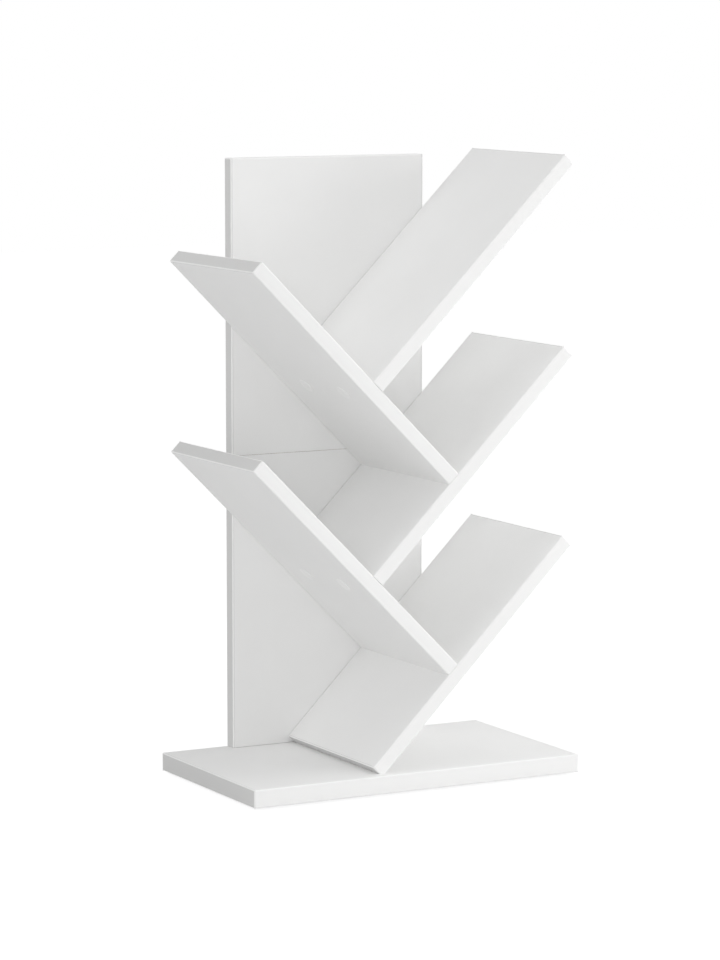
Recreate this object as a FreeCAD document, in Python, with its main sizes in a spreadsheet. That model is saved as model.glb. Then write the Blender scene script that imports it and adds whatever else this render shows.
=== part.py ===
import FreeCAD, Part
import os
import Sketcher
from FreeCAD import Vector

# A desktop bookshelf in the shape of a tree. A base board carries a trunk of two back panels. Three shelves
# lean to the right and two to the left, each standing square on the face of the one below it.
# Frame: origin at the middle of the footprint on the table, +X to the right, +Y to the back, +Z up.

# Driving dimensions, in millimetres and degrees
sizes = {
    # base board
    "base_width": 300,
    "base_depth": 170,
    "base_thick": 15,
    # trunk, two equal panels one above the other
    "panel_width": 180,
    "panel_thick": 12,
    "panel_gap": 0.2,
    "trunk_drop": 4.5,
    # shelves, all alike
    "shelf_length": 250,
    "shelf_depth": 150,
    "shelf_thick": 12,
    "lean_angle": 45,
    "tier_pitch": 156,
    "foot_flat": 5.5,
    # edge bands
    "band_thick": 1.3,
    "arris_radius": 1.2,
    "cut_overrun": 1,
    # countersunk chipboard screws, all alike
    "screw_length": 40,
    "screw_diameter": 4,
    "point_length": 5,
    "head_diameter": 8,
    "head_rim": 0.3,
    "head_recess": 0.3,
    "cross_width": 1.2,
    "cross_length": 4.4,
    "cross_depth": 1.6,
    "hole_clearance": 0.1,
    "pilot_spare": 2,
    # where the screws sit: from a shelf's lower end, from the trunk's side and from a shelf's front or back
    "back_screw_end": 60,
    "back_screw_edge": 20,
    "end_screw_edge": 43,
    "base_screw_edge": 30,
    # dowels across the seam of the trunk
    "dowel_diameter": 6,
    "dowel_length": 30,
    "dowel_chamfer": 0.8,
    "dowel_edge": 40,
    # stick-on covers over the screw heads under the shelves
    "cap_diameter": 14,
    "cap_rim": 0.3,
    "cap_crown": 0.7,
    # stick-on pads under the base
    "pad_diameter": 16,
    "pad_thick": 2,
    "pad_inset": 22,
}
countersink_angle = 90
least_cut_share = 1e-6

# Shelves from the bottom up, by the way they lean
right_shelves = ["lower_right_shelf", "middle_right_shelf", "upper_right_shelf"]
left_shelves = ["lower_left_shelf", "upper_left_shelf"]
steps = len(right_shelves) - 1

# Places worked out from the sizes, written as sheet expressions
rise = "sin(Sizes.lean_angle)"
run = "cos(Sizes.lean_angle)"
base_top = "(Sizes.pad_thick + Sizes.base_thick)"
trunk_back = "(Sizes.base_depth / 2)"
shelf_middle = f"({trunk_back} - Sizes.panel_thick - Sizes.shelf_depth / 2)"
# upper corner of the lowest shelf's lower end: its lower corner is cut flat to stand on the base
root_x = f"(-Sizes.tier_pitch * {rise} * {run} / 2)"
root_z = f"({base_top} + Sizes.shelf_thick * {run} - Sizes.foot_flat * {rise} * {run})"
# the trunk ends a little below the tip of the top shelf
trunk_top = f"({root_z} + {steps} * Sizes.tier_pitch + Sizes.shelf_length * {rise} - Sizes.trunk_drop)"
panel_height = f"(({trunk_top} - {base_top}) / 2 - Sizes.panel_gap)"
# from a shelf's lower end to the middle of the shelf that stands on it
right_carry = f"(Sizes.tier_pitch * {rise} - Sizes.shelf_thick / 2)"
left_carry = f"(Sizes.tier_pitch * {run} - Sizes.shelf_thick / 2)"
# from a shelf's lower end to its outer back screw, which sits a fixed way in from the trunk's side
screw_reach = "(Sizes.panel_width / 2 - Sizes.back_screw_edge)"
right_far = f"(({screw_reach} - {root_x} - Sizes.shelf_thick / 2 * {rise}) / {run})"
left_far = f"(({screw_reach} - {root_x} - Sizes.shelf_thick / 2 * {run}) / {rise})"
bore = "(Sizes.screw_diameter + 2 * Sizes.hole_clearance)"
sink = "(Sizes.head_diameter + 2 * (Sizes.head_recess + Sizes.head_rim + Sizes.hole_clearance))"
dowel_bore = "(Sizes.dowel_diameter + 2 * Sizes.hole_clearance)"

doc = FreeCAD.newDocument("TreeBookshelf")
sheet = doc.addObject("Spreadsheet::Sheet", "Sizes")
for row, (name, value) in enumerate(sizes.items(), start=1):
    sheet.set(f"A{row}", name)
    sheet.set(f"B{row}", str(value))
    sheet.setAlias(f"B{row}", name)
doc.recompute()
pieces = []


def number(expression):
    """The value that a sheet expression has now."""
    return float(sheet.evalExpression(expression))


def origin_part(body, role):
    return next(part for part in body.Origin.OriginFeatures if part.Role == role)


def new_body(name, placement):
    body = doc.addObject("PartDesign::Body", name)
    body.Label = name
    body.AllowCompound = True
    body.setExpression("Placement", placement)
    return body


def new_sketch(body, plane, name, offset="0"):
    sketch = body.newObject("Sketcher::SketchObject", f"{body.Name}_{name}")
    sketch.AttachmentSupport = [(origin_part(body, plane), "")]
    sketch.MapMode = "FlatFace"
    sketch.setExpression("AttachmentOffset.Base.z", offset)
    return sketch


def bind(sketch, name, constraint, expression):
    sketch.renameConstraint(sketch.addConstraint(constraint), name)
    sketch.setExpression(f"Constraints.{name}", expression)


def pin(sketch, side, point, x, y):
    """Holds one point of a sketch at a place given by two expressions."""
    for kind, place in (("DistanceX", x), ("DistanceY", y)):
        constraint = Sketcher.Constraint(kind, -1, 1, side, point, number(place))
        bind(sketch, f"{kind}_{side}", constraint, place)


def outline(sketch, corners):
    """Closes an outline. (x, y) starts a straight side, (x, y, (cx, cy, radius)) one that is an arc."""
    places = [Vector(number(corner[0]), number(corner[1]), 0) for corner in corners]
    ends = []
    for here, there, corner in zip(places, places[1:] + places[:1], corners):
        if len(corner) == 2:
            sketch.addGeometry(Part.LineSegment(here, there), False)
            ends.append((1, 2))
            continue
        centre = Vector(number(corner[2][0]), number(corner[2][1]), 0)
        circle = Part.Circle(centre, Vector(0, 0, 1), number(corner[2][2]))
        forward = (here - centre).cross(there - centre).z > 0
        first, last = (here, there) if forward else (there, here)
        arc = Part.ArcOfCircle(circle, circle.parameter(first), circle.parameter(last))
        sketch.addGeometry(arc, False)
        ends.append((1, 2) if forward else (2, 1))
    for side, corner in enumerate(corners):
        after = (side + 1) % len(corners)
        sketch.addConstraint(Sketcher.Constraint("Coincident", side, ends[side][1], after, ends[after][0]))
        pin(sketch, side, ends[side][0], corner[0], corner[1])
        if len(corner) > 2:
            radius = Sketcher.Constraint("Radius", side, number(corner[2][2]))
            bind(sketch, f"Radius_{side}", radius, corner[2][2])


def circles(sketch, centres, diameter):
    for side, (x, y) in enumerate(centres):
        place = Vector(number(x), number(y), 0)
        sketch.addGeometry(Part.Circle(place, Vector(0, 0, 1), number(diameter) / 2), False)
        pin(sketch, side, 3, x, y)
        bind(sketch, f"Width_{side}", Sketcher.Constraint("Diameter", side, number(diameter)), diameter)


def pad(body, sketch, length):
    feature = body.newObject("PartDesign::Pad", f"{body.Name}_pad")
    feature.Profile = sketch
    feature.setExpression("Length", length)
    return feature


def must_remove(body, feature, before):
    doc.recompute()
    if before - body.Shape.Volume < least_cut_share * before:
        raise ValueError(f"{feature.Name} cuts nothing")


def drill(body, plane, name, centres, diameter, depth=None, offset="0", forward=False, sunk=False):
    """Holes from one plane of a body: blind where a depth is given, through where none is."""
    sketch = new_sketch(body, plane, name, offset)
    circles(sketch, centres, diameter)
    doc.recompute()
    before = body.Shape.Volume
    hole = body.newObject("PartDesign::Hole", f"{body.Name}_{name}_hole")
    hole.Profile = sketch
    hole.ThreadType = "None"
    hole.Reversed = forward
    hole.DrillPoint = "Flat"
    hole.setExpression("Diameter", diameter)
    if depth is None:
        hole.DepthType = "ThroughAll"
    else:
        hole.DepthType = "Dimension"
        hole.setExpression("Depth", depth)
    if sunk:
        hole.HoleCutType = "Countersink"
        hole.HoleCutCustomValues = True
        hole.HoleCutCountersinkAngle = countersink_angle
        hole.setExpression("HoleCutDiameter", sink)
    must_remove(body, hole, before)


def board(name, length, width, thick, banded_ends, placement):
    """A board without its bands. Its own X runs along it from one end, Y is across it and Z through it."""
    body = new_body(name, placement)
    low = "Sizes.band_thick" if "start" in banded_ends else "0"
    high = f"{length} - Sizes.band_thick" if "end" in banded_ends else length
    half = f"({width} / 2 - Sizes.band_thick)"
    sketch = new_sketch(body, "XY_Plane", "outline")
    outline(sketch, [(low, f"-{half}"), (high, f"-{half}"), (high, half), (low, half)])
    pad(body, sketch, thick)
    return body


def band(name, owner, side, length, width, thick, banded_ends):
    """One strip of edge band. Its own X runs along the edge and Y points out of the board."""
    half = f"({width} / 2 - Sizes.band_thick)"
    place, turn, reach = {
        "right": (f"0; {half}; 0", 0, length),
        "left": (f"{length}; -{half}; 0", 180, length),
        "end": (f"{length} - Sizes.band_thick; {half}; 0", -90, f"2 * {half}"),
        "start": (f"Sizes.band_thick; -{half}; 0", 90, f"2 * {half}"),
    }[side]
    strip = new_body(name, f"{owner.Name}.Placement * placement(vector({place}); rotation({turn}; 0; 0))")
    flat = "Sizes.band_thick - Sizes.arris_radius"
    top = f"{thick} - Sizes.arris_radius"
    sketch = new_sketch(strip, "YZ_Plane", "section")
    outline(
        sketch,
        [
            ("0", "0"),
            (flat, "0", (flat, "Sizes.arris_radius", "Sizes.arris_radius")),
            ("Sizes.band_thick", "Sizes.arris_radius"),
            ("Sizes.band_thick", top, (flat, top, "Sizes.arris_radius")),
            (flat, thick),
            ("0", thick),
        ],
    )
    pad(strip, sketch, reach)
    # the long strips reach the board's corners, and are rounded where they meet another band there
    if side in ("left", "right"):
        for end in banded_ends:
            at_zero = (end == "start") == (side == "right")
            round_corner(strip, end, "0" if at_zero else reach, at_zero, thick)
    return strip


def round_corner(strip, end, place, at_zero, thick):
    """Rounds a strip's upright corner at one end as far as its arrises are rounded."""
    inward, outward = ("+", "-") if at_zero else ("-", "+")
    inner = f"{place} {inward} Sizes.arris_radius"
    outer = f"{place} {outward} Sizes.cut_overrun"
    low = "Sizes.band_thick - Sizes.arris_radius"
    beyond = "Sizes.band_thick + Sizes.cut_overrun"
    sketch = new_sketch(strip, "XY_Plane", f"{end}_corner")
    outline(
        sketch,
        [
            (place, low, (inner, low, "Sizes.arris_radius")),
            (inner, "Sizes.band_thick"),
            (inner, beyond),
            (outer, beyond),
            (outer, low),
        ],
    )
    doc.recompute()
    before = strip.Shape.Volume
    cut = strip.newObject("PartDesign::Pocket", f"{strip.Name}_{end}_round")
    cut.Profile = sketch
    cut.Reversed = True
    cut.setExpression("Length", thick)
    must_remove(strip, cut, before)


def turned(name, profile, placement):
    """A round piece turned about its own Z."""
    body = new_body(name, placement)
    sketch = new_sketch(body, "XZ_Plane", "profile")
    outline(sketch, profile)
    feature = body.newObject("PartDesign::Revolution", f"{name}_turned")
    feature.Profile = sketch
    feature.ReferenceAxis = (sketch, ["V_Axis"])
    feature.Angle = 360
    return body, feature


def repeat(body, features, copies, reach):
    """Finishes a body as a row of equal copies along its own X, spread evenly over a length."""
    pattern = body.newObject("PartDesign::LinearPattern", f"{body.Name}_row")
    pattern.Originals = features
    pattern.Direction = (origin_part(body, "X_Axis"), [""])
    pattern.setExpression("Length", reach)
    pattern.Occurrences = copies
    body.Tip = pattern
    pieces.append(body)


def screws(name, placement, copies, reach):
    """Countersunk screws with a cross recess. A screw's own Z points out of its head."""
    neck = "-(Sizes.head_rim + (Sizes.head_diameter - Sizes.screw_diameter) / 2)"
    profile = [
        ("0", "0"),
        ("Sizes.head_diameter / 2", "0"),
        ("Sizes.head_diameter / 2", "-Sizes.head_rim"),
        ("Sizes.screw_diameter / 2", neck),
        ("Sizes.screw_diameter / 2", "Sizes.point_length - Sizes.screw_length"),
        ("0", "-Sizes.screw_length"),
    ]
    body, shank = turned(name, profile, placement)
    doc.recompute()
    before = body.Shape.Volume
    sketch = new_sketch(body, "XY_Plane", "cross")
    arm = "Sizes.cross_length / 2"
    half = "Sizes.cross_width / 2"
    cross = [(half, half), (half, arm), (f"-{half}", arm), (f"-{half}", half)]
    cross += [(f"-{arm}", half), (f"-{arm}", f"-{half}"), (f"-{half}", f"-{half}"), (f"-{half}", f"-{arm}")]
    cross += [(half, f"-{arm}"), (half, f"-{half}"), (arm, f"-{half}"), (arm, half)]
    outline(sketch, cross)
    recess = body.newObject("PartDesign::Pocket", f"{name}_cross_recess")
    recess.Profile = sketch
    recess.setExpression("Length", "Sizes.cross_depth")
    must_remove(body, recess, before)
    repeat(body, [shank, recess], copies, reach)


def level(blank, name, ground):
    """Cuts away what would run into the base board, so that the piece stands flat on it."""
    cut = doc.addObject("Part::Cut", name)
    cut.Label = name
    cut.Base = blank
    cut.Tool = ground
    pieces.append(cut)


def pilot_depth(carrier):
    return f"(Sizes.screw_length + Sizes.head_recess - {carrier} + Sizes.pilot_spare)"


def extent(shape):
    box = shape.BoundBox
    return f"{box.XLength:.1f} x {box.YLength:.1f} x {box.ZLength:.1f} mm"


# Base board, flat on its pads, with bands on all four edges
base_at = "placement(vector(-Sizes.base_width / 2; 0; Sizes.pad_thick); rotation(0; 0; 0))"
base_size = ("Sizes.base_width", "Sizes.base_depth", "Sizes.base_thick")
base_ends = ("start", "end")
base = board("base_board", *base_size, base_ends, base_at)
base_reach = "(Sizes.panel_width / 2 - Sizes.base_screw_edge)"
trunk_middle = f"({trunk_back} - Sizes.panel_thick / 2)"
base_holes = [
    (f"Sizes.base_width / 2 - {base_reach}", trunk_middle),
    ("Sizes.base_width / 2", trunk_middle),
    (f"Sizes.base_width / 2 + {base_reach}", trunk_middle),
]
drill(base, "XY_Plane", "screw", base_holes, bore, forward=True, sunk=True)
pieces.append(base)
for edge, side in (("front", "left"), ("back", "right"), ("left", "start"), ("right", "end")):
    pieces.append(band(f"base_{edge}_band", base, side, *base_size, base_ends))
under_base = f"Sizes.base_width / 2 - {base_reach}; {trunk_middle}; Sizes.head_recess"
under_base_at = f"base_board.Placement * placement(vector({under_base}); rotation(0; 0; 180))"
screws("base_screws", under_base_at, len(base_holes), f"2 * {base_reach}")

# Shelves, each placed by the lower corner of its lower end and by the way it leans
places = {}
carries = {}
for tier, name in enumerate(right_shelves):
    x = f"{root_x} + Sizes.shelf_thick * {rise}"
    z = f"{root_z} + {tier} * Sizes.tier_pitch - Sizes.shelf_thick * {run}"
    places[name] = f"placement(vector({x}; {shelf_middle}; {z}); rotation(0; -Sizes.lean_angle; 0))"
    carries[name] = right_carry if tier < steps else None
for tier, name in enumerate(left_shelves):
    along = f"({right_carry} - Sizes.shelf_thick / 2)"
    x = f"{root_x} + {along} * {run}"
    z = f"{root_z} + {tier} * Sizes.tier_pitch + {along} * {rise}"
    places[name] = f"placement(vector({x}; {shelf_middle}; {z}); rotation(180; Sizes.lean_angle - 90; 0))"
    carries[name] = left_carry

ground = doc.addObject("Part::Box", "ground")
ground.setExpression("Length", "Sizes.base_width")
ground.setExpression("Width", "Sizes.base_depth")
ground.setExpression("Height", "Sizes.base_thick")
corner = "vector(-Sizes.base_width / 2; -Sizes.base_depth / 2; Sizes.pad_thick)"
ground.setExpression("Placement", f"placement({corner}; rotation(0; 0; 0))")

shelf_size = ("Sizes.shelf_length", "Sizes.shelf_depth", "Sizes.shelf_thick")
middle = "Sizes.shelf_thick / 2"
end_reach = "(Sizes.shelf_depth / 2 - Sizes.end_screw_edge)"
end_spots = [f"-{end_reach}", end_reach]
for name in right_shelves + left_shelves:
    stands_on_base = name == right_shelves[0]
    leans_right = name in right_shelves
    blank = f"{name}_blank" if stands_on_base else name
    shelf_ends = ("start", "end") if stands_on_base else ("end",)
    shelf = board(blank, *shelf_size, shelf_ends, places[name])
    # a left shelf is turned half round, so its back edge is the one on its own left
    far = right_far if leans_right else left_far
    back_side, front_side = ("right", "left") if leans_right else ("left", "right")
    back_holes = [("Sizes.back_screw_end", middle), (far, middle)]
    to_back = "-Sizes.shelf_depth / 2" if leans_right else "Sizes.shelf_depth / 2"
    depth = pilot_depth("Sizes.panel_thick")
    drill(shelf, "XZ_Plane", "back", back_holes, bore, depth, offset=to_back, forward=leans_right)
    if not stands_on_base:
        end_holes = [(spot, middle) for spot in end_spots]
        drill(shelf, "YZ_Plane", "end", end_holes, bore, pilot_depth("Sizes.shelf_thick"), forward=True)
    if carries[name]:
        face_holes = [(carries[name], spot) for spot in end_spots]
        drill(shelf, "XY_Plane", "face", face_holes, bore, forward=True, sunk=True)

    strips = {"front": front_side, "back": back_side, "tip": "end"}
    if stands_on_base:
        strips["foot"] = "start"
    finished = [(shelf, name)]
    for edge, side in strips.items():
        strip = band(f"{blank}_{edge}_band", shelf, side, *shelf_size, shelf_ends)
        if edge == "back":
            spots = back_holes
            if not leans_right:
                spots = [(f"Sizes.shelf_length - {spot}", height) for spot, height in back_holes]
            drill(strip, "XZ_Plane", "screw", spots, bore)
        finished.append((strip, f"{name}_{edge}_band"))
    for piece, label in finished:
        if stands_on_base and not label.endswith("tip_band"):
            level(piece, label, ground)
        else:
            piece.Label = label
            pieces.append(piece)

    # two screws through the trunk into the back edge
    outward, roll = ("", -90) if leans_right else ("-", 90)
    head = f"{outward}(Sizes.shelf_depth / 2 + Sizes.panel_thick - Sizes.head_recess)"
    spot = f"vector(Sizes.back_screw_end; {head}; {middle})"
    at = f"{shelf.Name}.Placement * placement({spot}; rotation(0; 0; {roll}))"
    screws(f"{name}_back_screws", at, len(back_holes), f"{far} - Sizes.back_screw_end")

# Butt joints: which shelf stands on which, screwed through the lower one's underside and capped there
joints = []
for tier, name in enumerate(left_shelves):
    joints.append((right_shelves[tier], name))
    joints.append((name, right_shelves[tier + 1]))
dome = "(Sizes.cap_crown - Sizes.cap_rim)"
dome_radius = f"((Sizes.cap_diameter ^ 2 / 4 + {dome} ^ 2) / (2 * {dome}))"
cap_profile = [
    ("0", "0"),
    ("Sizes.cap_diameter / 2", "0"),
    ("Sizes.cap_diameter / 2", "Sizes.cap_rim", ("0", f"Sizes.cap_crown - {dome_radius}", dome_radius)),
    ("0", "Sizes.cap_crown"),
]
for carrier, carried in joints:
    body = f"{carrier}_blank" if carrier == right_shelves[0] else carrier
    facing_down = "rotation(vector(1; 1; 0); 180)"
    spot = f"vector({carries[carrier]}; {end_spots[0]}; Sizes.head_recess)"
    at = f"{body}.Placement * placement({spot}; {facing_down})"
    screws(f"{carried}_end_screws", at, len(end_spots), f"2 * {end_reach}")
    spot = f"vector({carries[carrier]}; {end_spots[0]}; 0)"
    at = f"{body}.Placement * placement({spot}; {facing_down})"
    caps, disc = turned(f"{carrier}_screw_caps", cap_profile, at)
    repeat(caps, [disc], len(end_spots), f"2 * {end_reach}")

# Trunk: a panel's own X points up, Y to the right and Z to the back, where the screws go in
panel_size = (panel_height, "Sizes.panel_width", "Sizes.panel_thick")
panel_feet = {
    "lower": f"({base_top} + Sizes.panel_gap)",
    "upper": f"({base_top} + 2 * Sizes.panel_gap + {panel_height})",
}
shelf_screws = []
for tier in range(len(right_shelves)):
    for reach in ("Sizes.back_screw_end", right_far):
        x = f"{root_x} + {reach} * {run} + {middle} * {rise}"
        z = f"{root_z} + {tier} * Sizes.tier_pitch + {reach} * {rise} - {middle} * {run}"
        shelf_screws.append((x, z))
for tier in range(len(left_shelves)):
    for reach in ("Sizes.back_screw_end", left_far):
        x = f"{root_x} + {right_carry} * {run} - {reach} * {rise}"
        z = f"{root_z} + {tier} * Sizes.tier_pitch + {right_carry} * {rise} + {reach} * {run}"
        shelf_screws.append((x, z))
dowel_reach = "(Sizes.panel_width / 2 - Sizes.dowel_edge)"
panel_middle = "Sizes.panel_thick / 2"
dowel_holes = [(f"-{dowel_reach}", panel_middle), (dowel_reach, panel_middle)]
dowel_depth = "Sizes.dowel_length / 2 + Sizes.pilot_spare"
for half, foot in panel_feet.items():
    turn = "rotation(vector(1; 1; 1); -120)"
    at = f"placement(vector(0; {trunk_back} - Sizes.panel_thick; {foot}); {turn})"
    panel_ends = ("end",) if half == "upper" else ()
    panel = board(f"{half}_back_panel", *panel_size, panel_ends, at)
    # both panels are drilled from one template, and each takes the holes that fall on it
    template = [(f"{z} - {foot}", x) for x, z in shelf_screws]
    drill(panel, "XY_Plane", "shelf", template, bore, offset="Sizes.panel_thick", sunk=True)
    if half == "lower":
        foot_holes = [(f"-{base_reach}", panel_middle), ("0", panel_middle), (base_reach, panel_middle)]
        drill(panel, "YZ_Plane", "foot", foot_holes, bore, pilot_depth("Sizes.base_thick"), forward=True)
        drill(panel, "YZ_Plane", "seam", dowel_holes, dowel_bore, dowel_depth, offset=panel_height)
    else:
        drill(panel, "YZ_Plane", "seam", dowel_holes, dowel_bore, dowel_depth, forward=True)
    pieces.append(panel)
    strips = {"left": "left", "right": "right"}
    if half == "upper":
        strips["top"] = "end"
    for edge, side in strips.items():
        pieces.append(band(f"{half}_panel_{edge}_band", panel, side, *panel_size, panel_ends))

# Dowels half in each panel
seam = f"({panel_feet['upper']} - Sizes.panel_gap / 2)"
dowel_top = "Sizes.dowel_length / 2"
dowel_radius = "Sizes.dowel_diameter / 2"
dowel_tip = f"{dowel_radius} - Sizes.dowel_chamfer"
dowel_shoulder = f"({dowel_top} - Sizes.dowel_chamfer)"
dowel_profile = [
    ("0", f"-{dowel_top}"),
    (dowel_tip, f"-{dowel_top}"),
    (dowel_radius, f"-{dowel_shoulder}"),
    (dowel_radius, dowel_shoulder),
    (dowel_tip, dowel_top),
    ("0", dowel_top),
]
dowels_at = f"placement(vector(-{dowel_reach}; {trunk_middle}; {seam}); rotation(0; 0; 0))"
dowels, peg = turned("seam_dowels", dowel_profile, dowels_at)
repeat(dowels, [peg], len(dowel_holes), f"2 * {dowel_reach}")

# Pads under the corners of the base
pads = new_body("foot_pads", "placement(vector(0; 0; 0); rotation(0; 0; 0))")
pad_x = "(Sizes.base_width / 2 - Sizes.pad_inset)"
pad_y = "(Sizes.base_depth / 2 - Sizes.pad_inset)"
pad_spots = [(f"{a}{pad_x}", f"{b}{pad_y}") for a in ("", "-") for b in ("", "-")]
pad_sketch = new_sketch(pads, "XY_Plane", "outline")
circles(pad_sketch, pad_spots, "Sizes.pad_diameter")
pad(pads, pad_sketch, "Sizes.pad_thick")
pieces.append(pads)

# Everything has to be sound before any file is written
doc.recompute()
for item in doc.Objects:
    if "Invalid" in item.State or "Error" in item.State:
        raise ValueError(f"{item.Name} failed: {item.State}")
for piece in pieces:
    if piece.Shape.isNull() or not piece.Shape.isValid():
        raise ValueError(f"{piece.Label} has no sound shape")

os.makedirs("parts", exist_ok=True)
for piece in pieces:
    piece.Shape.exportStep(f"parts/{piece.Label}.step")
    print(f"{piece.Label}: {len(piece.Shape.Solids)} solids, {extent(piece.Shape)}")
whole = Part.makeCompound([piece.Shape for piece in pieces])
print(f"{len(pieces)} pieces, {extent(whole)}")
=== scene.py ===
import math

import bpy
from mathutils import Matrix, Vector


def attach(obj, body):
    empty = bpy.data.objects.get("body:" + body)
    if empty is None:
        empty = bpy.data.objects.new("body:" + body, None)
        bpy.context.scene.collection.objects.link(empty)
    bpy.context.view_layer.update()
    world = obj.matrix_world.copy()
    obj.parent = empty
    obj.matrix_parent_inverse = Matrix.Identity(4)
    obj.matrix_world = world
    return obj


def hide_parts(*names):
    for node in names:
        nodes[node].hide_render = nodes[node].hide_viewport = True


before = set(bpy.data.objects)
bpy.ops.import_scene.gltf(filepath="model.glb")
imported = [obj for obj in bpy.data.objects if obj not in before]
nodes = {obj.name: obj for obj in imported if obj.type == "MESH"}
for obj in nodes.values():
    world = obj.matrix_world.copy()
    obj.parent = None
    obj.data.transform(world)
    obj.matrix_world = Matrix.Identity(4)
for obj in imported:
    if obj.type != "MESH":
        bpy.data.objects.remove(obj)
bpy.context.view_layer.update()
mm = 0.001
fullTurn = 2 * math.pi
print(f"frame loaded with {len(nodes)} nodes")

# directions that the boards follow: a right shelf climbs to the right, a left one to the left
shelfLean = math.radians(45)
toRight = Vector((1, 0, 0))
toBack = Vector((0, 1, 0))
up = Vector((0, 0, 1))
upRight = Vector((math.cos(shelfLean), 0, math.sin(shelfLean)))
upLeft = Vector((-math.sin(shelfLean), 0, math.cos(shelfLean)))


# links a socket to another one, or sets its value
def feed(tree, socket, value):
    if isinstance(value, bpy.types.NodeSocket):
        tree.links.new(value, socket)
    else:
        socket.default_value = value


def addNode(tree, kind, inputs=None, **props):
    node = tree.nodes.new(kind)
    for name, value in props.items():
        setattr(node, name, value)
    for name, value in (inputs or {}).items():
        feed(tree, node.inputs[name], value)
    return node


def calc(tree, operation, *values):
    node = addNode(tree, "ShaderNodeMath", dict(enumerate(values)), operation=operation)
    return node.outputs[0]


# a Mix node repeats its socket names for every kind of value, so they are picked by number
def mixColour(tree, share, low, high):
    node = addNode(tree, "ShaderNodeMix", {0: share, 6: low, 7: high}, data_type="RGBA")
    return node.outputs[2]


def mixValue(tree, share, low, high):
    return addNode(tree, "ShaderNodeMix", {0: share, 2: low, 3: high}).outputs[0]


def dot(tree, first, second):
    pair = {0: first, 1: second}
    return addNode(tree, "ShaderNodeVectorMath", pair, operation="DOT_PRODUCT").outputs["Value"]


def scaled(tree, vector, scale):
    inputs = {"Vector": vector, "Scale": scale}
    return addNode(tree, "ShaderNodeVectorMath", inputs, operation="SCALE").outputs[0]


# a node group of either family with named sockets
def newGroup(name, inputs, outputs, family="Shader"):
    tree = bpy.data.node_groups.new(name, family + "NodeTree")
    for label, (kind, value) in inputs.items():
        socket = tree.interface.new_socket(label, in_out="INPUT", socket_type="NodeSocket" + kind)
        if value is not None:
            socket.default_value = value
    for label, kind in outputs.items():
        tree.interface.new_socket(label, in_out="OUTPUT", socket_type="NodeSocket" + kind)
    source = tree.nodes.new("NodeGroupInput")
    sink = tree.nodes.new("NodeGroupOutput")
    return tree, source.outputs, sink.inputs


def useGroup(tree, group, inputs):
    node = tree.nodes.new(tree.bl_idname.replace("Tree", "Group"))
    node.node_tree = group
    for name, value in inputs.items():
        feed(tree, node.inputs[name], value)
    return node.outputs


# a value that swings about its middle as a pattern runs from 0 to 1
def swing(tree, pattern, middle, spread):
    offCentre = calc(tree, "SUBTRACT", pattern, 0.5)
    return calc(tree, "MULTIPLY_ADD", offCentre, spread, middle)


# how fine the skin's two noises are, and the span that the clouding mostly keeps to
skinNoise = {"cloudDetail": 3, "cloudLow": 0.3, "cloudHigh": 0.7, "peelDetail": 2, "peelRoughness": 0.45}


# satin skin: faint clouding of the colour, patches of gloss and a fine peel
def makeSatinSkin():
    inputs = {
        "Vector": ("Vector", None),
        "Colour": ("Color", None),
        "Mottle": ("Float", 0.01),
        "Mottle Scale": ("Float", 30),
        "Roughness": ("Float", 0.4),
        "Roughness Spread": ("Float", 0.1),
        "Peel Scale": ("Float", 1500),
    }
    outputs = {"Colour": "Color", "Roughness": "Float", "Height": "Float"}
    tree, given, made = newGroup("satinSkin", inputs, outputs)
    clouding = {
        "Vector": given["Vector"],
        "Scale": given["Mottle Scale"],
        "Detail": skinNoise["cloudDetail"],
    }
    cloud = addNode(tree, "ShaderNodeTexNoise", clouding).outputs["Fac"]
    toning = {
        "Value": cloud,
        "From Min": skinNoise["cloudLow"],
        "From Max": skinNoise["cloudHigh"],
        "To Min": calc(tree, "SUBTRACT", 1, given["Mottle"]),
        "To Max": calc(tree, "ADD", 1, given["Mottle"]),
    }
    tone = addNode(tree, "ShaderNodeMapRange", toning).outputs[0]
    feed(tree, made["Colour"], scaled(tree, given["Colour"], tone))
    rough = swing(tree, cloud, given["Roughness"], given["Roughness Spread"])
    feed(tree, made["Roughness"], rough)
    peel = {
        "Vector": given["Vector"],
        "Scale": given["Peel Scale"],
        "Detail": skinNoise["peelDetail"],
        "Roughness": skinNoise["peelRoughness"],
    }
    feed(tree, made["Height"], addNode(tree, "ShaderNodeTexNoise", peel).outputs["Fac"])
    return tree


# packed grains of two colours: flakes of chipboard, cells of foam or, drawn out, fibres of wood
def makeGrains():
    inputs = {
        "Vector": ("Vector", None),
        "Scale": ("Float", 700),
        "Dark": ("Color", None),
        "Light": ("Color", None),
        "Roughness": ("Float", 0.8),
        "Roughness Spread": ("Float", 0.15),
    }
    outputs = {"Colour": "Color", "Roughness": "Float", "Height": "Float"}
    tree, given, made = newGroup("grains", inputs, outputs)
    cells = addNode(tree, "ShaderNodeTexVoronoi", {"Vector": given["Vector"], "Scale": given["Scale"]})
    pick = addNode(tree, "ShaderNodeSeparateColor", {"Color": cells.outputs["Color"]})
    feed(tree, made["Colour"], mixColour(tree, pick.outputs["Red"], given["Dark"], given["Light"]))
    rough = swing(tree, pick.outputs["Green"], given["Roughness"], given["Roughness Spread"])
    feed(tree, made["Roughness"], rough)
    feed(tree, made["Height"], calc(tree, "SUBTRACT", 1, cells.outputs["Distance"]))
    return tree


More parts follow.
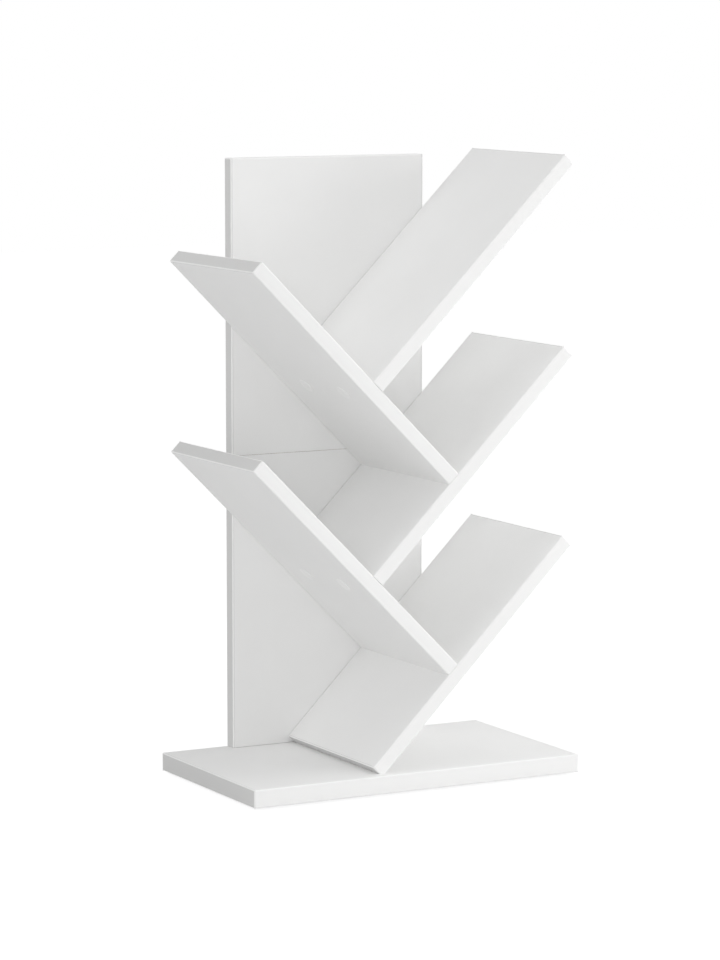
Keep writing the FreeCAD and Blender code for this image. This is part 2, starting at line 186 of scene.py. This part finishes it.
# draws a pattern out along one direction
def makeStretch():
    inputs = {"Vector": ("Vector", None), "Axis": ("Vector", None), "Stretch": ("Float", 20)}
    tree, given, made = newGroup("stretchAlong", inputs, {"Vector": "Vector"})
    along = dot(tree, given["Vector"], given["Axis"])
    share = calc(tree, "SUBTRACT", calc(tree, "DIVIDE", 1, given["Stretch"]), 1)
    moved = scaled(tree, given["Axis"], calc(tree, "MULTIPLY", along, share))
    total = addNode(tree, "ShaderNodeVectorMath", {0: given["Vector"], 1: moved}, operation="ADD")
    feed(tree, made["Vector"], total.outputs[0])
    return tree


# finds the rounded arrises: their normals lie between the three directions of a piece's flat faces
def makeArrisMask():
    inputs = {
        "Normal": ("Vector", None),
        "Run": ("Vector", None),
        "Side": ("Vector", None),
        "Flat": ("Float", 0.995),
        "Round": ("Float", 0.94),
    }
    tree, given, made = newGroup("arrisMask", inputs, {"Mask": "Float"})
    pair = {0: given["Run"], 1: given["Side"]}
    third = addNode(tree, "ShaderNodeVectorMath", pair, operation="CROSS_PRODUCT").outputs[0]
    flatness = 0
    for axis in (given["Run"], given["Side"], third):
        facing = calc(tree, "ABSOLUTE", dot(tree, given["Normal"], axis))
        flatness = calc(tree, "MAXIMUM", facing, flatness)
    limits = {"Value": flatness, "From Min": given["Flat"], "From Max": given["Round"]}
    feed(tree, made["Mask"], addNode(tree, "ShaderNodeMapRange", limits).outputs[0])
    return tree


satinSkin = makeSatinSkin()
grains = makeGrains()
stretchAlong = makeStretch()
arrisMask = makeArrisMask()


def newMaterial(name):
    material = bpy.data.materials.new(name)
    material.use_nodes = True
    tree = material.node_tree
    place = addNode(tree, "ShaderNodeTexCoord").outputs
    return material, tree, tree.nodes["Principled BSDF"], place


def addBump(tree, shader, height, depth):
    bump = addNode(tree, "ShaderNodeBump", {"Height": height, "Distance": depth, "Strength": 1})
    feed(tree, shader.inputs["Normal"], bump.outputs["Normal"])


def skinOf(tree, place, look):
    return useGroup(tree, satinSkin, {
        "Vector": place,
        "Colour": look["colour"],
        "Mottle": look["mottle"],
        "Mottle Scale": look["mottleScale"],
        "Roughness": look["roughness"],
        "Roughness Spread": look["roughnessSpread"],
        "Peel Scale": look["peelScale"],
    })


def grainsOf(tree, place, look):
    return useGroup(tree, grains, {
        "Vector": place,
        "Scale": look["grainScale"],
        "Dark": look["dark"],
        "Light": look["light"],
        "Roughness": look["roughness"],
        "Roughness Spread": look["roughnessSpread"],
    })


def drawnOut(tree, place, axis, look):
    inputs = {"Vector": place, "Axis": axis, "Stretch": look["stretch"]}
    return useGroup(tree, stretchAlong, inputs)["Vector"]


# white melamine on both faces, bare chipboard wherever the board is cut
melamine = {
    "colour": (0.93, 0.93, 0.925, 1),
    "mottle": 0.006,
    "mottleScale": 25,
    "roughness": 0.62,
    "roughnessSpread": 0.08,
    "shine": 0.07,
    "peelScale": 1100,
    "peelDepth": 0.006 * mm,
    "faceShare": 0.98,
}
chipboard = {
    "dark": (0.15, 0.115, 0.08, 1),
    "light": (0.44, 0.36, 0.26, 1),
    "grainScale": 650,
    "roughness": 0.82,
    "roughnessSpread": 0.15,
    "grainDepth": 0.08 * mm,
}


def boardMaterial(name, thickAxis):
    material, tree, shader, place = newMaterial(name)
    facing = calc(tree, "ABSOLUTE", dot(tree, place["Normal"], thickAxis))
    isFace = calc(tree, "GREATER_THAN", facing, melamine["faceShare"])
    skin = skinOf(tree, place["Object"], melamine)
    core = grainsOf(tree, place["Object"], chipboard)
    feed(tree, shader.inputs["Base Color"], mixColour(tree, isFace, core["Colour"], skin["Colour"]))
    feed(tree, shader.inputs["Roughness"], mixValue(tree, isFace, core["Roughness"], skin["Roughness"]))
    shader.inputs["Specular IOR Level"].default_value = melamine["shine"]
    peel = calc(tree, "MULTIPLY", skin["Height"], melamine["peelDepth"])
    flake = calc(tree, "MULTIPLY", core["Height"], chipboard["grainDepth"])
    addBump(tree, shader, mixValue(tree, isFace, flake, peel), 1)  # the heights are in metres already
    return material


# edge band: white plastic drawn out in faint lines along the edge, with painted shade making the board ends
# a shade greyer, and arrises that the trimmer left glossier, painted paler as a highlight
longBand = {
    "colour": (0.93, 0.93, 0.925, 1),
    "mottle": 0.008,
    "mottleScale": 60,
    "roughness": 0.6,
    "roughnessSpread": 0.1,
    "shine": 0.1,
    "peelScale": 2500,
    "peelDepth": 0.004 * mm,
    "stretch": 30,
    # painted highlight: the arrises are coloured paler to stand in for the light that their rounding
    # catches
    "arrisColour": (0.95, 0.95, 0.945, 1),
    "arrisRoughness": 0.3,
}
# painted shade: the board ends get a greyer colour that stands in for shade, not a different plastic
shadedEndBand = {**longBand, "colour": (0.725, 0.725, 0.72, 1)}


def bandMaterial(name, run, side, look):
    material, tree, shader, place = newMaterial(name)
    skin = skinOf(tree, drawnOut(tree, place["Object"], run, look), look)
    arris = useGroup(tree, arrisMask, {"Normal": place["Normal"], "Run": run, "Side": side})["Mask"]
    # the arrises get a painted highlight in their colour, while their lower roughness is real gloss
    feed(tree, shader.inputs["Base Color"], mixColour(tree, arris, skin["Colour"], look["arrisColour"]))
    feed(tree, shader.inputs["Roughness"], mixValue(tree, arris, skin["Roughness"], look["arrisRoughness"]))
    shader.inputs["Specular IOR Level"].default_value = look["shine"]
    addBump(tree, shader, skin["Height"], look["peelDepth"])
    return material


def dress(name, material):
    nodes[name].data.materials.clear()
    nodes[name].data.materials.append(material)


# the boards of each kind, by how their names end, and the way through their thickness
boardKinds = {
    "baseMelamine": {"ending": "base_board", "thickAxis": up},
    "trunkMelamine": {"ending": "_panel", "thickAxis": toBack},
    "rightShelfMelamine": {"ending": "_right_shelf", "thickAxis": upLeft},
    "leftShelfMelamine": {"ending": "_left_shelf", "thickAxis": upRight},
}
# the bands of each kind, by the edges that they cover, the way they run and one of their flat sides
bandKinds = {
    "acrossBand": {
        "edges": ("base_front", "base_back", "panel_top"),
        "run": toRight,
        "side": up,
        "look": longBand,
    },
    "baseEndBand": {
        "edges": ("base_left", "base_right"),
        "run": toBack,
        "side": up,
        "look": shadedEndBand,
    },
    "shelfEndBand": {
        "edges": ("shelf_tip", "shelf_foot"),
        "run": toBack,
        "side": upLeft,
        "look": shadedEndBand,
    },
    "uprightBand": {
        "edges": ("panel_left", "panel_right"),
        "run": up,
        "side": toBack,
        "look": shadedEndBand,
    },
    "rightLeaningBand": {
        "edges": ("right_shelf_front", "right_shelf_back"),
        "run": upRight,
        "side": upLeft,
        "look": longBand,
    },
    "leftLeaningBand": {
        "edges": ("left_shelf_front", "left_shelf_back"),
        "run": upLeft,
        "side": upRight,
        "look": longBand,
    },
}
for kind, board in boardKinds.items():
    material = boardMaterial(kind, board["thickAxis"])
    for name in nodes:
        if name.endswith(board["ending"]):
            dress(name, material)
for kind, band in bandKinds.items():
    material = bandMaterial(kind, band["run"], band["side"], band["look"])
    for name in nodes:
        if name.endswith("_band") and any(edge in name for edge in band["edges"]):
            dress(name, material)
print("boards and bands dressed")


# equal pieces in rows: each has its outer end at z = 0 and its length below, and turns to the axis
rowInputs = {
    "First": ("Vector", None),
    "Along": ("Vector", None),
    "Count": ("Int", 1),
    "Across": ("Vector", None),
    "Rows": ("Int", 1),
    "Axis": ("Vector", None),
    "Seed": ("Int", 0),
}


def makeStandInRows():
    inputs = {"Piece": ("Geometry", None), **rowInputs}
    tree, given, made = newGroup("standInRows", inputs, {"Instances": "Geometry"}, "Geometry")
    oneRow = {"Count": given["Count"], "Start Location": given["First"], "Offset": given["Along"]}
    row = addNode(tree, "GeometryNodeMeshLine", oneRow).outputs[0]
    rowStarts = {"Count": given["Rows"], "Offset": given["Across"]}
    starts = addNode(tree, "GeometryNodeMeshLine", rowStarts).outputs[0]
    rows = addNode(tree, "GeometryNodeInstanceOnPoints", {"Points": starts, "Instance": row}).outputs[0]
    spots = addNode(tree, "GeometryNodeRealizeInstances", {"Geometry": rows}).outputs[0]
    # each piece stands at an angle of its own: sockets 2 and 3 are the span of the random number
    chance = addNode(tree, "FunctionNodeRandomValue", {2: 0, 3: fullTurn, "Seed": given["Seed"]}).outputs[1]
    spin = addNode(tree, "FunctionNodeAxisAngleToRotation", {"Axis": up, "Angle": chance}).outputs[0]
    aim = addNode(tree, "FunctionNodeAlignRotationToVector", {"Vector": given["Axis"]}, axis="Z").outputs[0]
    turned = {"Rotation": aim, "Rotate By": spin}
    pose = addNode(tree, "FunctionNodeRotateRotation", turned, rotation_space="LOCAL").outputs[0]
    placed = {"Points": spots, "Instance": given["Piece"], "Rotation": pose}
    feed(tree, made["Instances"], addNode(tree, "GeometryNodeInstanceOnPoints", placed).outputs[0])
    return tree


standInRows = makeStandInRows()


# how near points are welded, and the angle past which an edge stays crisp
turning = {"weld": 0.001 * mm, "crispAngle": math.radians(35)}


def startPiece(name, sizes):
    sizeInputs = {label: ("Float", None) for label in ("Length", *sizes)}
    inputs = {**rowInputs, **sizeInputs, "Material": ("Material", None)}
    return newGroup(name, inputs, {"Geometry": "Geometry"}, "Geometry")


# soft shading but for crisp edges, then the rows, made real and given their material
def endPiece(tree, given, made, piece):
    soft = {"Geometry": piece, "Shade Smooth": True}
    smooth = addNode(tree, "GeometryNodeSetShadeSmooth", soft, domain="FACE").outputs[0]
    angle = addNode(tree, "GeometryNodeInputMeshEdgeAngle").outputs["Unsigned Angle"]
    isSoft = calc(tree, "LESS_THAN", angle, turning["crispAngle"])
    crisp = {"Geometry": smooth, "Shade Smooth": isSoft}
    shaded = addNode(tree, "GeometryNodeSetShadeSmooth", crisp, domain="EDGE").outputs[0]
    places = {label: given[label] for label in rowInputs}
    rows = useGroup(tree, standInRows, {"Piece": shaded, **places})["Instances"]
    real = addNode(tree, "GeometryNodeRealizeInstances", {"Geometry": rows}).outputs[0]
    finished = addNode(tree, "GeometryNodeSetMaterial", {"Geometry": real, "Material": given["Material"]})
    feed(tree, made["Geometry"], finished.outputs[0])
    return tree


# a sheet that is turned about the Z axis: its angle, and its share of the way from outer to inner end
def startLathe(tree, around, rings):
    size = {"Size X": 1, "Size Y": 1, "Vertices X": around + 1, "Vertices Y": rings}
    sheet = addNode(tree, "GeometryNodeMeshGrid", size).outputs["Mesh"]
    flat = addNode(tree, "GeometryNodeInputPosition").outputs[0]
    spot = addNode(tree, "ShaderNodeSeparateXYZ", {0: flat}).outputs
    angle = calc(tree, "MULTIPLY", spot["X"], -fullTurn)
    share = calc(tree, "ADD", spot["Y"], 0.5)  # the middle of the sheet lies at zero
    return sheet, angle, share


# bends the sheet round the axis and welds its seam and its ends shut
def endLathe(tree, sheet, angle, radius, height):
    across = calc(tree, "MULTIPLY", radius, calc(tree, "COSINE", angle))
    along = calc(tree, "MULTIPLY", radius, calc(tree, "SINE", angle))
    place = addNode(tree, "ShaderNodeCombineXYZ", {"X": across, "Y": along, "Z": height}).outputs[0]
    turned = addNode(tree, "GeometryNodeSetPosition", {"Geometry": sheet, "Position": place}).outputs[0]
    weld = {"Geometry": turned, "Distance": turning["weld"]}
    return addNode(tree, "GeometryNodeMergeByDistance", weld).outputs[0]


# one value for each ring of the sheet
def pickRing(tree, share, values):
    ring = calc(tree, "ROUND", calc(tree, "MULTIPLY", share, len(values) - 1))
    switch = addNode(tree, "GeometryNodeIndexSwitch", {"Index": ring}, data_type="FLOAT")
    for extra in values[2:]:
        switch.index_switch_items.new()
    for number, value in enumerate(values):
        feed(tree, switch.inputs[number + 1], value)
    return switch.outputs[0]


# the profile is a list of (radius, depth below the outer end), from the axis back to the axis,
# and waves are the count of grooves and how deep they are as a share of the radius
def turnProfile(tree, profile, around, waves=None):
    sheet, angle, share = startLathe(tree, around, len(profile))
    radius = pickRing(tree, share, [radius for radius, depth in profile])
    depth = pickRing(tree, share, [depth for radius, depth in profile])
    if waves:
        count, waveShare = waves
        ripple = calc(tree, "COSINE", calc(tree, "MULTIPLY", angle, count))
        groove = calc(tree, "MULTIPLY_ADD", ripple, waveShare / 2, 1 - waveShare / 2)
        radius = calc(tree, "MULTIPLY", radius, groove)
    return endLathe(tree, sheet, angle, radius, calc(tree, "MULTIPLY", depth, -1))


# where a CAD node begins and ends along a direction
def reach(name, direction):
    shares = [direction.dot(vertex.co) for vertex in nodes[name].data.vertices]
    return min(shares), max(shares)


# reads from the CAD node where its equal round pieces stand and how long they are
def readRows(name, axis, along, radius, count, rows=1):
    across = axis.cross(along)
    inner, outer = reach(name, axis)
    alongLow, alongHigh = reach(name, along)
    acrossLow, acrossHigh = reach(name, across)
    return {
        "First": axis * outer + along * (alongLow + radius) + across * (acrossLow + radius),
        "Along": along * (alongHigh - alongLow - 2 * radius) / max(count - 1, 1),
        "Count": count,
        "Across": across * (acrossHigh - acrossLow - 2 * radius) / max(rows - 1, 1),
        "Rows": rows,
        "Axis": axis,
        "Seed": sorted(nodes).index(name),  # one for each node
        "Length": outer - inner,
    }


# the plain mesh that stands in for a CAD node
def growPiece(name, tree, inputs):
    words = name.split("_")
    title = words[0] + "".join(word.capitalize() for word in words[1:])
    blank = bpy.data.meshes.new(title)
    piece = bpy.data.objects.new(title, blank)
    bpy.context.scene.collection.objects.link(piece)
    modifier = piece.modifiers.new(title, "NODES")
    modifier.node_group = tree
    for socket in tree.interface.items_tree:
        if socket.in_out == "INPUT":
            modifier[socket.identifier] = inputs[socket.name]
    graph = bpy.context.evaluated_depsgraph_get()
    mesh = bpy.data.meshes.new_from_object(piece.evaluated_get(graph))
    piece.modifiers.clear()
    piece.data = mesh
    bpy.data.meshes.remove(blank)
    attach(piece, "root")
    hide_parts(name)


# countersunk chipboard screw: crossed recess, bare neck, sharp thread and a point
screw = {
    "radius": 4 * mm,
    "rim": 0.3 * mm,
    "rimSoftness": 0.08 * mm,
    "shankRadius": 2 * mm,
    "neckLength": 2 * mm,
    "coreShare": 0.7,
    "pitch": 1.8 * mm,
    "crestShare": 0.5,
    "pointLength": 5 * mm,
    "recessWidth": 1.2 * mm,
    "recessSpan": 4.4 * mm,
    "recessDepth": 1.6 * mm,
    "recessTaperShare": 0.6,
    "headAround": 48,
    "threadAround": 24,
    "threadRings": 170,
}
screwSizes = {
    "Head Radius": screw["radius"],
    "Rim": screw["rim"],
    "Shank Radius": screw["shankRadius"],
    "Neck": screw["neckLength"],
    "Pitch": screw["pitch"],
    "Point": screw["pointLength"],
    "Recess Width": screw["recessWidth"],
    "Recess Span": screw["recessSpan"],
    "Recess Depth": screw["recessDepth"],
}


def addRecessWing(tree, wide, long, deep):
    tall = calc(tree, "MULTIPLY", deep, 2)  # half of the block stands clear of the head
    size = addNode(tree, "ShaderNodeCombineXYZ", {"X": wide, "Y": long, "Z": tall}).outputs[0]
    block = addNode(tree, "GeometryNodeMeshCube", {"Size": size}).outputs["Mesh"]
    place = addNode(tree, "GeometryNodeInputPosition").outputs[0]
    height = addNode(tree, "ShaderNodeSeparateXYZ", {0: place}).outputs["Z"]
    narrow = mixValue(tree, calc(tree, "LESS_THAN", height, 0), 1, screw["recessTaperShare"])
    scale = addNode(tree, "ShaderNodeCombineXYZ", {"X": narrow, "Y": narrow, "Z": 1}).outputs[0]
    tapered = addNode(tree, "ShaderNodeVectorMath", {0: place, 1: scale}, operation="MULTIPLY").outputs[0]
    return addNode(tree, "GeometryNodeSetPosition", {"Geometry": block, "Position": tapered}).outputs[0]


# the crest takes its share of every turn, bare core lies between, and all of it narrows to the point
def addThread(tree, given, start):
    sheet, angle, share = startLathe(tree, screw["threadAround"], screw["threadRings"])
    run = calc(tree, "SUBTRACT", given["Length"], start)
    depth = calc(tree, "MULTIPLY_ADD", share, run, start)
    turns = calc(tree, "DIVIDE", depth, given["Pitch"])
    phase = calc(tree, "FRACT", calc(tree, "MULTIPLY_ADD", angle, 1 / fullTurn, turns))
    # from 0 on the crest to 1 halfway to the next
    offCrest = calc(tree, "ABSOLUTE", calc(tree, "MULTIPLY_ADD", phase, 2, -1))
    slope = -1 / screw["crestShare"]
    crest = calc(tree, "MAXIMUM", calc(tree, "MULTIPLY_ADD", offCrest, slope, 1), 0)
    core = calc(tree, "MULTIPLY", given["Shank Radius"], screw["coreShare"])
    rise = calc(tree, "SUBTRACT", given["Shank Radius"], core)
    full = calc(tree, "MULTIPLY_ADD", crest, rise, core)
    left = calc(tree, "DIVIDE", calc(tree, "SUBTRACT", given["Length"], depth), given["Point"])
    taper = calc(tree, "MINIMUM", left, 1)
    firstRing = 0.5 / screw["threadRings"]  # this ring closes on the axis
    closed = calc(tree, "GREATER_THAN", share, firstRing)
    radius = calc(tree, "MULTIPLY", calc(tree, "MULTIPLY", full, taper), closed)
    return endLathe(tree, sheet, angle, radius, calc(tree, "MULTIPLY", depth, -1))


def makeScrew():
    tree, given, made = startPiece("countersunkScrew", screwSizes)
    headRadius = given["Head Radius"]
    neckShare = (1 + screw["coreShare"]) / 2  # halfway between core and crest
    neckRadius = calc(tree, "MULTIPLY", given["Shank Radius"], neckShare)
    coneEnd = calc(tree, "ADD", given["Rim"], calc(tree, "SUBTRACT", headRadius, neckRadius))
    neckEnd = calc(tree, "ADD", coneEnd, given["Neck"])
    profile = [
        (0, 0),
        (calc(tree, "SUBTRACT", headRadius, screw["rimSoftness"]), 0),
        (headRadius, screw["rimSoftness"]),
        (headRadius, given["Rim"]),
        (neckRadius, coneEnd),
        (neckRadius, neckEnd),
        (0, neckEnd),
    ]
    head = turnProfile(tree, profile, screw["headAround"])
    width = given["Recess Width"]
    span = given["Recess Span"]
    cut = addNode(tree, "GeometryNodeMeshBoolean", {"Mesh 1": head}, operation="DIFFERENCE", solver="EXACT")
    for wide, long in ((width, span), (span, width)):
        wing = addRecessWing(tree, wide, long, given["Recess Depth"])
        tree.links.new(wing, cut.inputs["Mesh 2"])
    joined = tree.nodes.new("GeometryNodeJoinGeometry")
    for part in (cut.outputs["Mesh"], addThread(tree, given, coneEnd)):
        tree.links.new(part, joined.inputs[0])
    return endPiece(tree, given, made, joined.outputs[0])


# stick-on cover: a thin disc with a low crown
screwCap = {"radius": 7 * mm, "rim": 0.3 * mm, "crownSteps": 8, "around": 64}
screwCapSizes = {"Radius": screwCap["radius"], "Rim": screwCap["rim"]}


def makeScrewCap():
    tree, given, made = startPiece("screwCap", screwCapSizes)
    crown = calc(tree, "SUBTRACT", given["Length"], given["Rim"])
    profile = []
    for step in range(screwCap["crownSteps"] + 1):
        share = step / screwCap["crownSteps"]
        radius = calc(tree, "MULTIPLY", given["Radius"], share)
        profile.append((radius, calc(tree, "MULTIPLY", crown, share ** 2)))
    profile.append((given["Radius"], given["Length"]))
    profile.append((0, given["Length"]))
    return endPiece(tree, given, made, turnProfile(tree, profile, screwCap["around"]))


# foam foot: a disc with a rounded lower rim on a slightly smaller film of glue
footPad = {
    "radius": 8 * mm,
    "rimRadius": 0.6 * mm,
    "rimSteps": 5,
    "glueThick": 0.15 * mm,
    "glueInset": 0.25 * mm,
    "around": 72,
}
footPadSizes = {"Radius": footPad["radius"], "Rim Radius": footPad["rimRadius"]}


def makeFootPad():
    tree, given, made = startPiece("footPad", footPadSizes)
    flat = calc(tree, "SUBTRACT", given["Radius"], given["Rim Radius"])
    profile = [(0, 0)]
    for step in range(footPad["rimSteps"] + 1):
        bend = fullTurn / 4 * step / footPad["rimSteps"]
        radius = calc(tree, "MULTIPLY_ADD", given["Rim Radius"], math.sin(bend), flat)
        profile.append((radius, calc(tree, "MULTIPLY", given["Rim Radius"], 1 - math.cos(bend))))
    glueStart = calc(tree, "SUBTRACT", given["Length"], footPad["glueThick"])
    glueRadius = calc(tree, "SUBTRACT", given["Radius"], footPad["glueInset"])
    profile.append((given["Radius"], glueStart))
    profile.append((glueRadius, glueStart))
    profile.append((glueRadius, given["Length"]))
    profile.append((0, given["Length"]))
    return endPiece(tree, given, made, turnProfile(tree, profile, footPad["around"]))


# fluted dowel with bevelled ends
dowel = {"radius": 3 * mm, "bevel": 0.8 * mm, "flutes": 16, "fluteShare": 0.08, "around": 96}
dowelSizes = {"Radius": dowel["radius"], "Bevel": dowel["bevel"]}


def makeDowel():
    tree, given, made = startPiece("flutedDowel", dowelSizes)
    narrow = calc(tree, "SUBTRACT", given["Radius"], given["Bevel"])
    profile = [
        (0, 0),
        (narrow, 0),
        (given["Radius"], given["Bevel"]),
        (given["Radius"], calc(tree, "SUBTRACT", given["Length"], given["Bevel"])),
        (narrow, given["Length"]),
        (0, given["Length"]),
    ]
    turned = turnProfile(tree, profile, dowel["around"], (dowel["flutes"], dowel["fluteShare"]))
    return endPiece(tree, given, made, turned)


# bright zinc plating, a little cloudy
zinc = {
    "colour": (0.63, 0.64, 0.66, 1),
    "mottle": 0.08,
    "mottleScale": 400,
    "roughness": 0.34,
    "roughnessSpread": 0.2,
    "peelScale": 6000,
    "peelDepth": 0.01 * mm,
    "metallic": 1,
}
capFilm = {
    "colour": (0.965, 0.965, 0.96, 1),
    "mottle": 0.006,
    "mottleScale": 90,
    "roughness": 0.36,
    "roughnessSpread": 0.08,
    "peelScale": 3000,
    "peelDepth": 0.004 * mm,
    "metallic": 0,
}
foam = {
    "dark": (0.16, 0.16, 0.165, 1),
    "light": (0.3, 0.3, 0.305, 1),
    "grainScale": 2200,
    "roughness": 0.9,
    "roughnessSpread": 0.12,
    "grainDepth": 0.1 * mm,
}
beech = {
    "dark": (0.45, 0.27, 0.14, 1),
    "light": (0.68, 0.48, 0.3, 1),
    "grainScale": 900,
    "roughness": 0.62,
    "roughnessSpread": 0.2,
    "grainDepth": 0.03 * mm,
    "stretch": 14,
}


def skinMaterial(name, look):
    material, tree, shader, place = newMaterial(name)
    skin = skinOf(tree, place["Object"], look)
    feed(tree, shader.inputs["Base Color"], skin["Colour"])
    feed(tree, shader.inputs["Roughness"], skin["Roughness"])
    shader.inputs["Metallic"].default_value = look["metallic"]
    addBump(tree, shader, skin["Height"], look["peelDepth"])
    return material


def grainMaterial(name, look, axis=None):
    material, tree, shader, place = newMaterial(name)
    spot = place["Object"]
    if axis:
        spot = drawnOut(tree, spot, axis, look)
    grain = grainsOf(tree, spot, look)
    feed(tree, shader.inputs["Base Color"], grain["Colour"])
    feed(tree, shader.inputs["Roughness"], grain["Roughness"])
    addBump(tree, shader, grain["Height"], look["grainDepth"])
    return material


# what each kind of hardware is grown from
hardware = {
    "screw": {
        "tree": makeScrew(),
        "radius": screw["radius"],
        "sizes": screwSizes,
        "material": skinMaterial("zincSteel", zinc),
        "slot": "screw_steel",
    },
    "screwCap": {
        "tree": makeScrewCap(),
        "radius": screwCap["radius"],
        "sizes": screwCapSizes,
        "material": skinMaterial("whiteFilm", capFilm),
        "slot": "screw_cap",
    },
    "footPad": {
        "tree": makeFootPad(),
        "radius": footPad["radius"],
        "sizes": footPadSizes,
        "material": grainMaterial("greyFoam", foam),
        "slot": "foot_pad",
    },
    "dowel": {
        "tree": makeDowel(),
        "radius": dowel["radius"],
        "sizes": dowelSizes,
        "material": grainMaterial("beechWood", beech, up),
        "slot": "dowel_wood",
    },
}


def growRows(kind, name, axis, along, count, rows=1):
    make = hardware[kind]
    places = readRows(name, axis, along, make["radius"], count, rows)
    inputs = {**places, **make["sizes"], "Material": make["material"]}
    growPiece(name, make["tree"], inputs)


# a shelf's end screws go in from below the shelf that carries it, which leans the other way
leans = {"right": upRight, "left": upLeft}
undersides = {"right": -upLeft, "left": -upRight}
opposites = {"right": "left", "left": "right"}
pairCount = 2
baseScrewCount = 3
for name in list(nodes):
    side = "right" if "_right_" in name else "left"
    if name.endswith("_back_screws"):
        growRows("screw", name, toBack, leans[side], pairCount)
    elif name.endswith("_end_screws"):
        growRows("screw", name, undersides[opposites[side]], toBack, pairCount)
    elif name.endswith("_screw_caps"):
        growRows("screwCap", name, undersides[side], toBack, pairCount)
growRows("screw", "base_screws", -up, toRight, baseScrewCount)
growRows("dowel", "seam_dowels", up, toRight, pairCount)
growRows("footPad", "foot_pads", -up, toRight, pairCount, pairCount)
print("screws, caps, dowels and pads grown")

# plain pale floor, white to the eye, with a faint shadow under the shelf
studio = {
    "floorSize": 12,
    "floorColour": (0.8, 0.8, 0.8, 1),
    "floorDrop": 0.2 * mm,
    "floorGlow": 0.88,
    "shadowColour": (0.25, 0.25, 0.25, 1),
    "skyColour": (1, 1, 1, 1),
    "skyGlow": 1,
    "fill": 0.5,
}


# one shader for what is seen, straight or in a mirror or glass, and another for the light that is thrown
def splitSeen(tree, thrown, seen):
    rays = addNode(tree, "ShaderNodeLightPath").outputs
    direct = calc(tree, "MAXIMUM", rays["Is Camera Ray"], rays["Is Glossy Ray"])
    isSeen = calc(tree, "MAXIMUM", direct, rays["Is Transmission Ray"])
    inputs = {0: isSeen, 1: thrown.outputs[0], 2: seen.outputs[0]}
    return addNode(tree, "ShaderNodeMixShader", inputs).outputs[0]


def makeFloor():
    half = studio["floorSize"] / 2
    low = -studio["floorDrop"]
    corners = [(-half, -half, low), (half, -half, low), (half, half, low), (-half, half, low)]
    mesh = bpy.data.meshes.new("floor")
    mesh.from_pydata(corners, [], [(0, 1, 2, 3)])
    floor = bpy.data.objects.new("floor", mesh)
    bpy.context.scene.collection.objects.link(floor)
    material = bpy.data.materials.new("paleFloor")
    material.use_nodes = True
    tree = material.node_tree
    tree.nodes.clear()
    bounce = addNode(tree, "ShaderNodeBsdfDiffuse", {"Color": studio["floorColour"]})
    shade = addNode(tree, "ShaderNodeBsdfDiffuse", {"Color": studio["shadowColour"]})
    glow = addNode(tree, "ShaderNodeEmission", {"Strength": studio["floorGlow"]})
    shown = addNode(tree, "ShaderNodeAddShader", {0: shade.outputs[0], 1: glow.outputs[0]})
    addNode(tree, "ShaderNodeOutputMaterial", {"Surface": splitSeen(tree, bounce, shown)})
    mesh.materials.append(material)


def makeWorld():
    world = bpy.data.worlds.new("studio")
    bpy.context.scene.world = world
    world.use_nodes = True
    tree = world.node_tree
    tree.nodes.clear()
    colour = studio["skyColour"]
    fill = addNode(tree, "ShaderNodeBackground", {"Color": colour, "Strength": studio["fill"]})
    shown = addNode(tree, "ShaderNodeBackground", {"Color": colour, "Strength": studio["skyGlow"]})
    addNode(tree, "ShaderNodeOutputWorld", {"Surface": splitSeen(tree, fill, shown)})


# soft lamps around the shelf, all aimed at its middle
softboxes = {
    "highRightBox": {"place": (0.75, -0.2, 1.7), "size": (1, 1), "power": 5.7},
    "lowRightBox": {"place": (1.5, -0.2, 0.2), "size": (0.8, 0.8), "power": 6},
    "frontRightBox": {"place": (1.3, -1.3, 0.5), "size": (1, 1), "power": 9.2},
    "lowFrontBox": {"place": (-0.3, -1.2, 0.12), "size": (0.5, 0.5), "power": 2.4},
    "leftBox": {"place": (-1.6, -0.2, 0.4), "size": (1, 1), "power": 2.3},
    "highLeftBox": {"place": (-1.1, 0, 1.4), "size": (1, 1), "power": 3.8},
}
aimPoint = Vector((0, 0, 0.25))


def addSoftbox(name, box):
    lamp = bpy.data.lights.new(name, "AREA")
    lamp.shape = "RECTANGLE"
    lamp.size, lamp.size_y = box["size"]
    lamp.energy = box["power"]
    holder = bpy.data.objects.new(name, lamp)
    bpy.context.scene.collection.objects.link(holder)
    holder.location = box["place"]
    holder.rotation_euler = (aimPoint - holder.location).to_track_quat("-Z", "Y").to_euler()
    holder.visible_camera = False
    holder.visible_glossy = False


makeFloor()
makeWorld()
for name, box in softboxes.items():
    addSoftbox(name, box)
print("studio lit")

# long lens, from the left and a little above, looking slightly down
eye = {"place": (-1.454, -2.668, 0.638), "lens": 140.2, "turn": -28.43, "tilt": -7.37}
levelAngle = 90  # an unturned camera looks straight down


def addCamera():
    data = bpy.data.cameras.new("eye")
    data.lens = eye["lens"]
    holder = bpy.data.objects.new("eye", data)
    holder.location = eye["place"]
    holder.rotation_euler = (math.radians(levelAngle + eye["tilt"]), 0, math.radians(eye["turn"]))
    bpy.context.scene.collection.objects.link(holder)
    bpy.context.scene.camera = holder


addCamera()
bpy.context.scene.view_settings.view_transform = "Standard"
